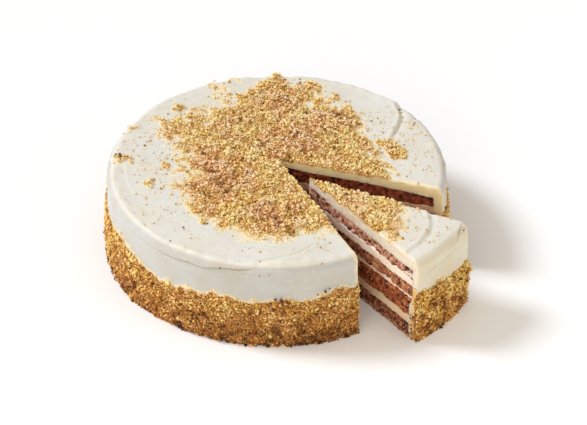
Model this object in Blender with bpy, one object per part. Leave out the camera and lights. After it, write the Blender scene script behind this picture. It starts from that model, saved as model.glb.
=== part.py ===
"""A frosted four-layer carrot cake, cut open, with one slice drawn a little way out of the gap.

Metres, +Z up. The cake stands on z = 0, and the origin is under the middle of everything it covers.
Sponges and fillings are stacked discs under a coat of frosting, and two knives cut them afterwards.
"""

import bpy
from math import cos, pi, radians, sin
from mathutils import Vector

# Whole cake
RIM_RADIUS = 0.122  # where the frosted top turns over into the side
HEIGHT = 0.0664
SEGMENTS = 60
SOLID_GAP = 0.0003  # left between solids that touch

# Layers from the base up: name, thickness at the axis, thickness at the edge
LAYERS = (
    ("sponge_1", 0.0118, 0.0120),
    ("filling_1", 0.0058, 0.0056),
    ("sponge_2", 0.0120, 0.0158),
    ("filling_2", 0.0036, 0.0018),
    ("sponge_3", 0.0106, 0.0080),
    ("filling_3", 0.0062, 0.0060),
    ("sponge_4", 0.0092, 0.0078),
)
LAYER_RADIUS = 0.1188
LAYER_RINGS = (0.50, 0.84, 1.0)  # rings of each disc, in layer radii
LAYER_WAVE = 0.0005  # rise and fall of each layer's top along the edge

# Side coat
BASE_FLARE = 0.0024  # how much wider than the rim the coat is at its foot
FLARE_POWER = 0.8  # under 1, the flare starts close below the rim
SIDE_LEVELS = (0.55, 0.25, 0.0)  # heights of the side's lower rings, in cake heights
BELOW_CREASE = 0.004  # from the crease down to the side's first ring
COAT_WAVE = 0.0006  # how far the coat wanders in and out
WIDE_WANDER = (0.6, 2, 0.7)  # share, turns round the cake, start in radians
CLOSE_WANDER = (0.4, 5, 2.1)
SHOULDER = 0.0052  # radius of the edge between the top and the side
SHOULDER_TURNS = (15, 40, 65, 90)  # degrees of that edge at each of its rings
LIP_DROP = 0.0100  # from the top down to the crease under the spread-out rim
LIP_CREASE = 0.0007  # depth of that crease

# Top coat
TOP_WAVE = 0.0007  # spatula unevenness
SLICE_STEP = 0.0011  # ledge across the slice's top, highest on its inner side
SLICE_STEP_AT = 0.86  # where that ledge is, in rim radii
SLICE_STEP_WIDTH = 0.05
TOP_RINGS = (0.30, 0.55, 0.75, SLICE_STEP_AT - 0.01, SLICE_STEP_AT + 0.06)  # in rim radii

# The gap cut out of the cake: its point, and where its two cuts meet the rim
NOTCH_POINT = Vector((0.0, 0.0067))
NOTCH_FRONT = radians(-62.2)
NOTCH_REAR = radians(-14.3)

# The slice: its two cuts, how far the knife leans, and how far the slice is drawn out
SLICE_FRONT = radians(-52.9)
SLICE_REAR = radians(-24.7)
SLICE_LEAN = Vector((-0.0013, -0.0029))
SLICE_DRAWN = Vector((0.0238, -0.0187, 0.0))

KNIFE_REACH = 0.2
KNIFE_OVERRUN = 0.01

COLOURS = {
    "sponge": (0.190, 0.070, 0.028),
    "filling": (0.800, 0.690, 0.540),
    "frosting": (0.840, 0.790, 0.680),
}
ROUGHNESS = {"sponge": 0.85, "filling": 0.50, "frosting": 0.48}


def clear_scene():
    for obj in list(bpy.data.objects):
        bpy.data.objects.remove(obj, do_unlink=True)


def material(name, kind):
    mat = bpy.data.materials.new(name)
    mat.use_nodes = True
    shader = mat.node_tree.nodes["Principled BSDF"]
    shader.inputs["Base Color"].default_value = (*COLOURS[kind], 1.0)
    shader.inputs["Roughness"].default_value = ROUGHNESS[kind]
    shader.inputs["Metallic"].default_value = 0.0
    mat.diffuse_color = (*COLOURS[kind], 1.0)
    return mat


def smoothstep(t):
    t = min(max(t, 0.0), 1.0)
    return t * t * (3 - 2 * t)


def layer_top(count, share, angle):
    """Height of the top of the lowest `count` layers, at a share of the layer radius."""
    at_axis = sum(layer[1] for layer in LAYERS[:count])
    at_edge = sum(layer[2] for layer in LAYERS[:count])
    wave = LAYER_WAVE * share * sin(3 * angle + 1.9 * count) if count else 0.0
    return at_axis + (at_edge - at_axis) * smoothstep(share) + wave


def lathe(name, rings):
    """A closed mesh from rings of points, each a list round the axis or one point on it."""
    points = []
    starts = []
    for ring in rings:
        starts.append(len(points))
        points.extend(ring)
    faces = []
    for ring, after, start, following in zip(rings, rings[1:], starts, starts[1:]):
        for i in range(SEGMENTS):
            j = (i + 1) % SEGMENTS
            if len(ring) == 1:
                faces.append((start, following + j, following + i))
            elif len(after) == 1:
                faces.append((start + i, start + j, following))
            else:
                faces.append((start + i, start + j, following + j, following + i))
    mesh = bpy.data.meshes.new(name)
    mesh.from_pydata(points, [], faces)
    mesh.validate()
    mesh.set_sharp_from_angle(angle=radians(40))
    return mesh


def ring_at(radius, height):
    """Points round the axis, where radius and height may be functions of the angle."""
    points = []
    for i in range(SEGMENTS):
        angle = 2 * pi * i / SEGMENTS
        r = radius(angle) if callable(radius) else radius
        z = height(angle) if callable(height) else height
        points.append((r * cos(angle), r * sin(angle), z))
    return points


def disc(name, count):
    """Layer number `count`, from the base up: a disc whose faces follow its neighbours'."""

    def upper(share):
        return lambda angle: layer_top(count, share, angle) - SOLID_GAP / 2

    def lower(share):
        floor = SOLID_GAP / 2 if count > 1 else 0.0
        return lambda angle: layer_top(count - 1, share, angle) + floor

    rings = [[(0, 0, lower(0)(0))]]
    rings += [ring_at(LAYER_RADIUS * share, lower(share)) for share in LAYER_RINGS]
    rings += [ring_at(LAYER_RADIUS * share, upper(share)) for share in reversed(LAYER_RINGS)]
    rings.append([(0, 0, upper(0)(0))])
    return lathe(name, rings[::-1])


def coat_wander(angle):
    waves = (share * sin(turns * angle + start) for share, turns, start in (WIDE_WANDER, CLOSE_WANDER))
    return COAT_WAVE * sum(waves)


def coat_outline(height):
    """The side coat's radius at a height, before it wanders: widest at its foot."""
    return RIM_RADIUS + BASE_FLARE * (1 - height / HEIGHT) ** FLARE_POWER


def top_height(radius, angle, step):
    """The top coat's height: long low spatula waves and, on the slice, a ledge."""
    share = radius / RIM_RADIUS
    waves = TOP_WAVE * share * sin(2 * angle + 3.0 * share) * cos(angle - 4.0 * share)
    ledge = step * (1 - smoothstep((share - SLICE_STEP_AT) / SLICE_STEP_WIDTH))
    return HEIGHT + waves + ledge - step / 2


def frosting(name, step):
    """The coat over top and side: a cap that is open below, over the stacked discs."""
    rings = []

    def outside(radius, height):
        rings.append(ring_at(lambda angle: radius + coat_wander(angle), height))

    def top(share):
        radius = RIM_RADIUS * share
        rings.append(ring_at(radius, lambda angle: top_height(radius, angle, step)))

    rings.append([(0, 0, top_height(0, 0, step))])
    for share in TOP_RINGS:
        top(share)
    for turn in SHOULDER_TURNS:
        inward = SHOULDER * (1 - sin(radians(turn)))
        drop = SHOULDER * (1 - cos(radians(turn)))
        outside(RIM_RADIUS - inward, HEIGHT - drop - step / 2)
    crease = HEIGHT - LIP_DROP
    outside(coat_outline(crease) - LIP_CREASE, crease)
    for height in (crease - BELOW_CREASE, *(HEIGHT * level for level in SIDE_LEVELS)):
        outside(coat_outline(height), height)

    def underside(share):
        return lambda angle: layer_top(len(LAYERS), share, angle) + SOLID_GAP / 2

    inner = LAYER_RADIUS + SOLID_GAP
    rings.append(ring_at(inner, 0.0))
    for share in reversed(LAYER_RINGS):
        radius = inner if share == 1.0 else LAYER_RADIUS * share
        rings.append(ring_at(radius, underside(share)))
    rings.append([(0, 0, underside(0)(0))])
    return lathe(name, rings)


def knife(name, point, front, rear, lean=Vector((0, 0))):
    """A wedge that cuts: its point on the inside, its two faces along the cuts."""
    mesh = bpy.data.meshes.new(name)
    points = []
    for height in (-KNIFE_OVERRUN, HEIGHT + KNIFE_OVERRUN):
        offset = lean * (1 - height / HEIGHT)
        for corner in (point, point + KNIFE_REACH * front, point + KNIFE_REACH * rear):
            points.append((*(corner + offset), height))
    faces = [(2, 1, 0), (3, 4, 5), (0, 1, 4, 3), (1, 2, 5, 4), (2, 0, 3, 5)]
    mesh.from_pydata(points, [], faces)
    obj = bpy.data.objects.new(name, mesh)
    obj.hide_render = True
    obj.display_type = "WIRE"
    bpy.context.scene.collection.objects.link(obj)
    return obj


def direction(angle):
    return Vector((cos(angle), sin(angle)))


def towards_rim(angle):
    """The way from the gap's point to the rim at an angle about the cake's axis."""
    return (RIM_RADIUS * direction(angle) - NOTCH_POINT).normalized()


def cut_piece(name, mesh, kind, parent, cutter, operation):
    obj = bpy.data.objects.new(name, mesh)
    bpy.context.scene.collection.objects.link(obj)
    mesh.materials.append(material(name, kind))
    obj.parent = parent
    cut = obj.modifiers.new("cut", "BOOLEAN")
    cut.operation = operation
    cut.solver = "EXACT"
    cut.object = cutter
    return obj


def empty(name, parent=None, location=(0, 0, 0)):
    obj = bpy.data.objects.new(name, None)
    bpy.context.scene.collection.objects.link(obj)
    obj.parent = parent
    obj.location = location
    return obj


def build_group(prefix, parent, cutter, operation, step):
    """The seven layers and their frosting, all cut by one knife."""
    cutter.parent = parent
    pieces = []
    for number, (layer, _, _) in enumerate(LAYERS, start=1):
        name = f"{prefix}_{layer}"
        kind = layer.split("_")[0]
        pieces.append(cut_piece(name, disc(name, number), kind, parent, cutter, operation))
    name = f"{prefix}_frosting"
    pieces.append(
        cut_piece(name, frosting(name, step), "frosting", parent, cutter, operation)
    )
    return pieces


def centre_footprint(root, pieces):
    """Slides everything so that the origin is under the middle of what the cake covers."""
    bpy.context.view_layer.update()
    graph = bpy.context.evaluated_depsgraph_get()
    corners = []
    for piece in pieces:
        evaluated = piece.evaluated_get(graph)
        corners += [evaluated.matrix_world @ v.co for v in evaluated.to_mesh().vertices]
        evaluated.to_mesh_clear()
    for axis in (0, 1):
        values = [corner[axis] for corner in corners]
        root.location[axis] = -(min(values) + max(values)) / 2


def main():
    clear_scene()
    root = empty("footprint_middle")
    slice_place = empty("slice_place", root, SLICE_DRAWN)
    notch_sides = (towards_rim(NOTCH_FRONT), towards_rim(NOTCH_REAR))
    notch_knife = knife("notch_knife", NOTCH_POINT, *notch_sides)
    slice_sides = (direction(SLICE_FRONT), direction(SLICE_REAR))
    slice_knife = knife("slice_knife", Vector((0, 0)), *slice_sides, SLICE_LEAN)
    pieces = build_group("cake", root, notch_knife, "DIFFERENCE", 0.0)
    pieces += build_group("slice", slice_place, slice_knife, "INTERSECT", SLICE_STEP)
    centre_footprint(root, pieces)


main()
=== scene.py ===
"""The looks of a cut carrot cake: its frosting, sponge, cream and crumbs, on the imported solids.

Everything is in metres. Angles are about the axis of the cake, or of the slice where it was baked,
counter-clockwise from +X. "Plan" places are in rim radii from that axis.
"""

from math import ceil, cos, pi, radians, sin
from types import SimpleNamespace

import bmesh
import bpy
import numpy as np
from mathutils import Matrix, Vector
from mathutils.bvhtree import BVHTree


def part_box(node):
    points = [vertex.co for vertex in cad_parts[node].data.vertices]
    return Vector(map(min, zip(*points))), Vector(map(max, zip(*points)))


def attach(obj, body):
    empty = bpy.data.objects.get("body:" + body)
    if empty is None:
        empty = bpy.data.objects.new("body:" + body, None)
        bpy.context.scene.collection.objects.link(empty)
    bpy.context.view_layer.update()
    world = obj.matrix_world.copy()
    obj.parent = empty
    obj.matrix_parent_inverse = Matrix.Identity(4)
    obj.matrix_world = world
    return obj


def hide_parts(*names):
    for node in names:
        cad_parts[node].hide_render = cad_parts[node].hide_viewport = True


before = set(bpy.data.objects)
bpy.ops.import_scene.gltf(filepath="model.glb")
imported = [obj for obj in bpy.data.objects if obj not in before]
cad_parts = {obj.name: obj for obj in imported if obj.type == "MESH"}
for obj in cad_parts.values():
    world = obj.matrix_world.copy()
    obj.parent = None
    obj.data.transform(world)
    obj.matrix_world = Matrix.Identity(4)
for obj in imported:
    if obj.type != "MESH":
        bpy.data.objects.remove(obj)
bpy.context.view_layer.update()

MM = 0.001

# ---- sizes

# From the base up: four sponges with cream between them
LAYERS = ("sponge_1", "filling_1", "sponge_2", "filling_2", "sponge_3", "filling_3", "sponge_4")

# The cake's axis, and the radius of its layers, from the lowest sponge; it reaches all round
lowest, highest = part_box("cake_sponge_1")
AXIS = np.array(((lowest + highest) / 2)[:2])
LAYER_RADIUS = (highest.x - lowest.x) / 2
RIM = LAYER_RADIUS + 3.2 * MM  # where the frosted top turns over into the side
HEIGHT = 66.4 * MM  # mean height of the frosted top

SHOULDER = 5.0 * MM  # radius of the edge between the top and the side
SLOPE_POWER = 1.4  # 1 rounds that edge, and 2 makes it a flat slope
BASE_FLARE = 2.4 * MM  # how much wider than the rim the side coat is at its foot
EDGE_TINT = 3.6 * MM  # how far a cut's cream is dragged over the coat beside it
APEX_RISE = 1.9 * MM  # how much thinner the top coat is where the two cuts meet
FULL_SPONGE = {"cake": 1.3 * MM, "slice": 0.0}  # how much thinner it is half way out, too
TOP_SKIN = 2.1 * MM  # how high crumbs heap up on the top, under the loose ones
SIDE_SKIN = 1.5 * MM  # the same on the side
CUT_EDGE = 1.5 * MM  # how round the top edge of a cut is
CUT_CORNER = 1.2 * MM  # how round its upright edge is
CREASE_DEPTH = 1.5 * MM  # the crease under the spread-out rim
SIDE_ROW_CROWDING = 1.5  # over 1, the rows down the side lie closer together near the top
MEASURED_AT = np.linspace(0.03, 0.97, 16)  # where layer heights are read, in shares of the way out
BEHIND_CUT = 1.5 * MM  # and how far behind the cut, where the layers are whole
WELD = 0.001 * MM  # points nearer than this are one point
KNIFE_PRESS = 9 * MM  # near the apex line, over this length, the cut faces are pressed smooth

# Crumbs
LARGEST_CRUMB = 3.4 * MM
CRUMBED_TO = 0.56 * RIM  # how high up the side they are strewn
DRAGGED_TO = 0.36 * RIM  # how high the knife drags them over the end of a cut
BLADE_DRAG = 3.6 * MM  # how far in from the rim it drags them
FALLEN_HEIGHT = 0.4 * MM  # where the middle of one lies at the foot of the side

# Camera, in rim radii from the cake's axis
CAMERA_ELEVATION = radians(36.57)
CAMERA_DISTANCE = 13.0
CAMERA_AIM = (0.102, 0.0, 0.188)
CAMERA_LENS = 132.4


# ---- noise


def hashed(cells, seed):
    """Repeatable numbers from 0 to 1, one for each cell given by whole numbers x, y and z."""
    x, y, z = np.moveaxis(cells.astype(np.int64).astype(np.uint32), -1, 0)
    mixed = x * np.uint32(374761393) ^ y * np.uint32(668265263) ^ z * np.uint32(2246822519)
    mixed = mixed ^ np.uint32((seed * 3266489917 + 12345) % 2**32)
    mixed = (mixed ^ (mixed >> np.uint32(15))) * np.uint32(2654435761)
    mixed = (mixed ^ (mixed >> np.uint32(13))) * np.uint32(1274126177)
    return (mixed ^ (mixed >> np.uint32(16))) / 2.0**32


def noise(points, size, seed):
    """Smooth noise from -1 to 1, with features about `size` across. points end in x, y, z."""
    place = np.asarray(points) / size
    cell = np.floor(place)
    blend = place - cell
    blend = blend * blend * (3 - 2 * blend)
    total = 0.0
    for corner in np.ndindex(2, 2, 2):
        weight = np.where(corner, blend, 1 - blend).prod(-1)
        total = total + weight * hashed(cell + corner, seed)
    return 2 * total - 1


def fractal(points, size, seed, octaves=3):
    """Noise with finer noise added, each octave half the size and half as strong."""
    total = 0.0
    for octave in range(octaves):
        total = total + noise(points, size / 2**octave, seed + 17 * octave) / 2**octave
    return total


def cells(points, size, seed):
    """Distance to the nearest of the random cell centres, in sizes, and that cell's number."""
    place = np.asarray(points) / size
    base = np.floor(place)
    nearest = np.full(place.shape[:-1], 9.0)
    owner = np.zeros(place.shape[:-1])
    for offset in np.ndindex(3, 3, 3):
        cell = base + offset - 1
        middle = cell + np.stack([hashed(cell, seed + axis) for axis in range(3)], -1)
        away = np.sqrt(((middle - place) ** 2).sum(-1))
        owner = np.where(away < nearest, hashed(cell, seed + 7), owner)
        nearest = np.minimum(away, nearest)
    return nearest, owner


def smoothstep(value, low=0.0, high=1.0):
    t = np.clip((value - low) / (high - low), 0, 1)
    return t * t * (3 - 2 * t)


def points_at(x, y, z=0.0):
    return np.stack(np.broadcast_arrays(x, y, z), -1)


def heading(angle):
    """Level directions at angles from +X."""
    return np.stack([np.cos(angle), np.sin(angle)], -1)


def lifted(level, height):
    """Points from level places and their heights."""
    return np.concatenate([level, height[..., None]], -1)


def on_rim(angle, height):
    """Points at the rim's radius, where the noise on the side is read."""
    return points_at(RIM * np.cos(angle), RIM * np.sin(angle), height)


# ---- meshes


class Patchwork:
    """A mesh made of grids and of strips that join their edges. Equal points are welded at the end."""

    def __init__(self, *marks):
        self.points = []
        self.marks = {mark: [] for mark in marks}
        self.quads = []
        self.triangles = [np.zeros((0, 3), int)]
        self.count = 0

    def grid(self, points, **marks):
        """Adds a grid of points and the quads over it, and returns the points' numbers."""
        shape = points.shape[:-1]
        numbers = self.count + np.arange(np.prod(shape)).reshape(shape)
        self.count += numbers.size
        self.points.append(points.reshape(-1, 3))
        for mark, values in self.marks.items():
            values.append(np.broadcast_to(marks.get(mark, 0.0), shape).reshape(-1))
        corners = (numbers[:-1, :-1], numbers[1:, :-1], numbers[1:, 1:], numbers[:-1, 1:])
        self.quads.append(np.stack(corners, -1).reshape(-1, 4))
        return numbers

    def stitch(self, near, far, near_at, far_at):
        """Triangles between two paths of points, given how far along each point lies."""
        found = []
        i = j = 0
        while i < len(near) - 1 or j < len(far) - 1:
            if j == len(far) - 1 or (i < len(near) - 1 and near_at[i + 1] <= far_at[j + 1]):
                found.append((near[i], near[i + 1], far[j]))
                i += 1
            else:
                found.append((near[i], far[j + 1], far[j]))
                j += 1
        self.triangles.append(np.array(found, int))

    def build(self, name, material):
        points = np.concatenate(self.points)
        places = np.round(points / WELD).astype(np.int64)
        _, first, weld = np.unique(places, axis=0, return_index=True, return_inverse=True)
        weld = weld.reshape(-1)
        quads = weld[np.concatenate(self.quads)]
        triangles = weld[np.concatenate(self.triangles)]
        same = quads == np.roll(quads, -1, axis=1)
        for side in range(4):
            # A quad with one closed side is a triangle, and one with two closed sides is nothing.
            closed = quads[(same.sum(1) == 1) & same[:, side]]
            triangles = np.concatenate([triangles, np.delete(closed, side, axis=1)])
        quads = quads[same.sum(1) == 0]
        triangles = triangles[(triangles != np.roll(triangles, -1, axis=1)).all(1)]
        marks = {mark: np.concatenate(values)[first] for mark, values in self.marks.items()}
        return mesh_object(name, points[first], (quads, triangles), marks, material)


def mesh_object(name, points, faces, marks, material):
    """A smooth mesh with marks on its points. faces are arrays of quads or of triangles."""
    mesh = bpy.data.meshes.new(name)
    mesh.vertices.add(len(points))
    mesh.vertices.foreach_set("co", points.astype(np.float32).ravel())
    corners = np.concatenate([part.ravel() for part in faces]).astype(np.int32)
    mesh.loops.add(len(corners))
    mesh.loops.foreach_set("vertex_index", corners)
    sides = np.concatenate([np.full(len(part), part.shape[1]) for part in faces])
    mesh.polygons.add(len(sides))
    mesh.polygons.foreach_set("loop_start", (np.cumsum(sides) - sides).astype(np.int32))
    mesh.update(calc_edges=True)
    mesh.validate()
    mesh.shade_smooth()
    for mark, values in marks.items():
        layer = mesh.attributes.new(mark, "FLOAT", "POINT")
        layer.data.foreach_set("value", values.astype(np.float32))
    mesh.materials.append(material)
    obj = bpy.data.objects.new(name, mesh)
    bpy.context.scene.collection.objects.link(obj)
    return obj


def face_outwards(obj):
    """Turns the faces of a closed mesh outwards."""
    shape = bmesh.new()
    shape.from_mesh(obj.data)
    bmesh.ops.recalc_face_normals(shape, faces=shape.faces)
    shape.to_mesh(obj.data)
    shape.free()


# ---- what the knife left


def of_faces(mesh, name, width):
    """What each face of a mesh has under a name, as rows of `width` numbers."""
    values = np.empty(len(mesh.polygons) * width)
    mesh.polygons.foreach_get(name, values)
    return values.reshape(-1, width)


def cut_planes(node):
    """The two flat cuts through a CAD layer: each one's outward normal and a point on it."""
    normals = of_faces(node.data, "normal", 3)
    centres = of_faces(node.data, "center", 3)
    areas = of_faces(node.data, "area", 1)
    turns = np.degrees(np.arctan2(normals[:, 1], normals[:, 0]))
    unused = np.abs(normals[:, 2]) < 0.3
    found = []
    for _ in range(2):
        whole = np.round(turns[unused]).astype(int) % 360
        widest = np.bincount(whole, weights=areas[unused, 0], minlength=360).argmax()
        apart = np.abs((turns - widest + 180) % 360 - 180)
        facing = unused & (apart < 2)
        largest = np.flatnonzero(facing)[areas[facing].argmax()]
        depth = (centres - centres[largest]) @ normals[largest]
        on_plane = facing & (np.abs(depth) < 0.2 * MM)
        normal = (normals[on_plane] * areas[on_plane]).sum(0)
        point = (centres[on_plane] * areas[on_plane]).sum(0) / areas[on_plane].sum()
        found.append((normal / np.linalg.norm(normal), point))
        unused &= apart > 5
    return found


class Group:
    """The cake or the slice: its axis, its apex line, its two cuts and its layers' heights.

    Its material runs counter-clockwise from the first cut to the last. A place in it is a share of
    that sweep, from 0 at the first cut to 1 at the last.
    """

    def __init__(self, name, axis=None):
        self.name = name
        self.nodes = [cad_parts[f"{name}_{layer}"] for layer in LAYERS]
        planes = cut_planes(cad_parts[f"{name}_sponge_2"])
        normals = np.array([plane[0] for plane in planes])
        offsets = np.array([plane[0] @ plane[1] for plane in planes])
        self.apex_foot = np.linalg.solve(normals[:, :2], offsets)
        self.apex_slope = np.linalg.solve(normals[:, :2], -normals[:, 2])
        self.axis = self.apex(HEIGHT) if axis is None else axis
        cuts = [self.cut(*plane) for plane in planes]
        cuts.sort(key=lambda cut: cut[2])
        self.normals = [cut[0] for cut in cuts]
        self.along = [cut[1] for cut in cuts]
        self.heights = [self.measure(side) for side in (0, 1)]

    def apex(self, height):
        """Where the two cuts meet, at a height or at each of several heights."""
        return self.apex_foot + np.multiply.outer(height, self.apex_slope)

    def cut(self, normal, point):
        """A cut's normal, its level direction to the rim, and whether it is the last cut."""
        along = point[:2] - self.apex(point[2])
        along /= np.linalg.norm(along)
        return normal, along, along[0] * normal[1] - along[1] * normal[0] > 0

    def reach(self, height, along, radius):
        """How far it is from the apex line to a radius about the axis, in a level direction."""
        start = self.apex(height) - self.axis
        ahead = (start * along).sum(-1)
        return np.sqrt(ahead**2 - (start**2).sum(-1) + radius**2) - ahead

    def angle(self, height, radius, share):
        """The angle about the axis, for a share of the sweep at a height and radius."""
        ends = []
        for along in self.along:
            end = self.apex(height) - self.axis
            end = end + self.reach(height, along, radius)[..., None] * along
            ends.append(np.arctan2(end[..., 1], end[..., 0]))
        first, last = ends
        last = np.where(last < first, last + 2 * pi, last)
        return first + share * (last - first)

    def measure(self, side):
        """Heights of the layers' tops along a cut, by looking down on each CAD layer."""
        rows = [np.zeros(len(MEASURED_AT))]
        for node in self.nodes:
            corners = [vertex.co for vertex in node.data.vertices]
            tree = BVHTree.FromPolygons(corners, [tuple(p.vertices) for p in node.data.polygons])
            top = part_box(node.name)[1].z
            found = []
            for share in MEASURED_AT:
                along = share * self.reach(top, self.along[side], LAYER_RADIUS)
                inside = min(BEHIND_CUT, 0.2 * along) * self.normals[side][:2]
                place = self.apex(top) + along * self.along[side] - inside
                hit = tree.ray_cast(Vector((*place, top + 5 * MM)), Vector((0, 0, -1)))[0]
                found.append(hit.z if hit else np.nan)
            found = np.array(found)
            known = ~np.isnan(found)
            rows.append(np.interp(MEASURED_AT, MEASURED_AT[known], found[known]))
        return np.array(rows)

    def level(self, count, out, share):
        """Height of the top of the lowest `count` layers, at a share of the way out."""
        first, last = (np.interp(out, MEASURED_AT, rows[count]) for rows in self.heights)
        level = first + (last - first) * share
        if count < len(LAYERS):
            return level
        swell = FULL_SPONGE[self.name] * smoothstep(out, 0.1, 0.4) * smoothstep(1 - out, 0.02, 0.2)
        return level + APEX_RISE * np.exp(-((out / 0.18) ** 2)) + swell

    def layer_edge(self, height, share):
        """Radius of the sponges and fillings, which the side coat covers."""
        place = points_at(40 * MM * share, 0.0, height)
        wander = 0.8 * MM * np.sin(height / (5 * MM) + 3 * share)
        return LAYER_RADIUS - 0.9 * MM + wander + 1.2 * MM * fractal(place, 6 * MM, 12, octaves=2)

    def from_cuts(self, level, height):
        """How far level places lie from the nearer cut."""
        found = []
        for along, normal in zip(self.along, self.normals):
            offset = level - self.apex(height)
            ahead = (offset * along).sum(-1)
            across = (offset * normal[:2]).sum(-1)
            found.append(np.where(ahead > 0, np.abs(across), np.hypot(ahead, across)))
        return np.minimum(*found)

    def around(self, angle, radius, height):
        """Points about the axis, at angles, radii and heights."""
        return lifted(self.axis + radius[..., None] * heading(angle), height)

    def inside_place(self, out, share, height):
        """A point among the layers, at a share of the way from the apex line to their edge."""
        edge = self.layer_edge(height, share)
        rim = self.axis + edge[..., None] * heading(self.angle(height, edge, share))
        apex = self.apex(height)
        return lifted(apex + out[..., None] * (rim - apex), height)


# ---- where crumbs lie

# Outline of the crumbs on the top: degrees about PATCH_MIDDLE, and rim radii
PATCH_MIDDLE = (-0.05, 0.0)
PATCH_EDGE = (
    (-24, 0.635), (-10, 0.68), (20, 0.585), (45, 0.71), (60, 0.69), (70, 0.90), (80, 0.87), (88, 0.96),
    (97, 0.78), (110, 0.73), (125, 0.70), (135, 0.72), (145, 0.80), (155, 0.68), (168, 0.55), (185, 0.51),
    (197, 0.49), (207, 0.52), (220, 0.58), (235, 0.62), (260, 0.65), (282, 0.69), (298, 0.70),
    (312, 0.73), (325, 0.695),
)

# Small heaps beside the patch, and thin places in it: plan x, y, radius and how full or bare
HEAPS = (
    (0.70, 0.13, 0.075, 1.0), (0.70, 0.22, 0.040, 0.7), (0.56, 0.13, 0.044, 1.0),
    (-0.90, 0.02, 0.060, 0.8), (-0.65, -0.03, 0.036, 0.8), (-0.85, 0.35, 0.042, 0.7),
    (-0.65, 0.63, 0.055, 0.9), (-0.70, -0.22, 0.055, 0.8), (-0.30, 0.92, 0.045, 0.5),
    (-0.34, 0.80, 0.060, 0.45), (0.33, 0.72, 0.055, 0.8),
)
THIN = (
    (-0.30, 0.62, 0.10, 0.85), (0.24, 0.64, 0.11, 0.85), (-0.60, 0.08, 0.17, 0.85),
    (-0.62, 0.24, 0.08, 0.75), (-0.50, -0.12, 0.08, 0.55), (-0.10, 0.78, 0.08, 0.50),
    (-0.46, 0.46, 0.10, 0.80), (-0.38, -0.42, 0.08, 0.45), (0.34, 0.28, 0.07, 0.40),
)

# Where more single crumbs are scattered over the bare frosting: plan x, y, radius and how many
SPECKLED = (
    (0.76, 0.28, 0.30, 0.085), (0.62, -0.34, 0.22, 0.030), (-0.72, 0.20, 0.24, 0.040),
    (-0.62, -0.30, 0.24, 0.030), (0.05, -0.78, 0.20, 0.016),
)

# Darker crumbs: plan x, y and radius
BROWN = (
    (-0.36, -0.10, 0.17), (-0.35, -0.27, 0.13), (0.10, 0.20, 0.17), (0.00, -0.52, 0.14),
    (0.35, 0.45, 0.13), (0.02, 0.62, 0.10),
)

# Top of the crumbs on the side: degrees about the axis, and rim radii above the base
BAND_TOP = (
    (180, 0.36), (208, 0.355), (218, 0.325), (228, 0.285), (238, 0.285), (250, 0.325), (265, 0.310),
    (275, 0.325), (283, 0.300), (291, 0.355), (308, 0.330), (315, 0.320), (323, 0.312), (334, 0.292),
    (346, 0.355),
)

# How the crumbs on the side change: degrees, how much darker they are low down, which is painted shade near
# the floor, and how brown
BAND_FOOT_SHADE_AND_HUE = (
    (180, 0.32, 0.15), (240, 0.32, 0.15), (255, 0.50, 0.15), (290, 0.50, 0.15), (306, 0.25, 0.00),
    (340, 0.05, -0.10), (350, 0.32, 0.15),
)

# The crease under the spread-out rim: degrees, rim radii above the base, and how sharp it is
CREASE = (
    (120, 0.49, 0.35), (180, 0.475, 0.30), (228, 0.470, 0.35), (234, 0.472, 1.50), (246, 0.480, 1.50),
    (252, 0.502, 1.30), (260, 0.515, 0.80), (268, 0.530, 0.35), (285, 0.535, 0.30), (298, 0.520, 0.25),
    (309, 0.440, 0.30), (316, 0.443, 1.10), (324, 0.464, 1.10), (327.0, 0.500, 0.50),
    (329.5, 0.525, 1.50), (335, 0.545, 1.70), (350, 0.500, 0.35), (400, 0.480, 0.35),
)


def round_table(table, degrees, column=1):
    """Reads a table that goes round the axis, at angles in degrees."""
    turns = np.array([row[0] for row in table])
    values = np.array([row[column] for row in table])
    return np.interp(degrees, turns, values, period=360)


def spot(x, y, centre_x, centre_y, radius):
    """1 at the centre of a round spot, falling smoothly to 0 at its radius."""
    return smoothstep(1.6 - 1.6 * np.hypot(x - centre_x, y - centre_y) / radius, 0, 1)


def top_cover(x, y):
    """How thickly crumbs cover a plan place on the top, from 0 to 1."""
    place = points_at(x, y) * RIM
    ragged = 0.050 * fractal(place, 13 * MM, 3) + 0.042 * noise(place, 4.2 * MM, 9)
    away = np.hypot(x - PATCH_MIDDLE[0], y - PATCH_MIDDLE[1])
    turn = np.degrees(np.arctan2(y - PATCH_MIDDLE[1], x - PATCH_MIDDLE[0]))
    cover = smoothstep(round_table(PATCH_EDGE, turn) + ragged - away, -0.10, 0.07)
    broken = 0.5 + 0.5 * fractal(place, 5 * MM, 21)
    shift_x = 0.05 * fractal(place, 7 * MM, 22)
    shift_y = 0.05 * fractal(place, 7 * MM, 23)
    for thin_x, thin_y, radius, bareness in THIN:
        thin = spot(x + shift_x, y + shift_y, thin_x, thin_y, 1.4 * radius)
        cover = cover * (1 - bareness * thin * smoothstep(broken, 0.1, 0.9))
    for heap_x, heap_y, radius, fullness in HEAPS:
        heap = spot(x + ragged, y - ragged, heap_x, heap_y, 1.25 * radius)
        cover = np.maximum(cover, fullness * smoothstep(heap * (0.55 + 0.6 * broken), 0.15, 0.7))
    return cover


def top_brownness(x, y):
    place = points_at(x, y) * RIM
    brown = 0.10 * fractal(place, 15 * MM, 33)
    for brown_x, brown_y, radius in BROWN:
        brown = brown + 0.42 * spot(x, y, brown_x, brown_y, 1.5 * radius)
    return brown


def side_cover(angle, height):
    """How thickly crumbs cover the side, from 0 to 1."""
    place = on_rim(angle, height)
    ragged = 2.4 * MM * fractal(place, 8 * MM, 5) + 2.0 * MM * noise(place, 3.0 * MM, 11)
    return smoothstep(RIM * round_table(BAND_TOP, np.degrees(angle)) + ragged - height, -3.4 * MM, 2.6 * MM)


# ---- frosting relief

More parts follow.
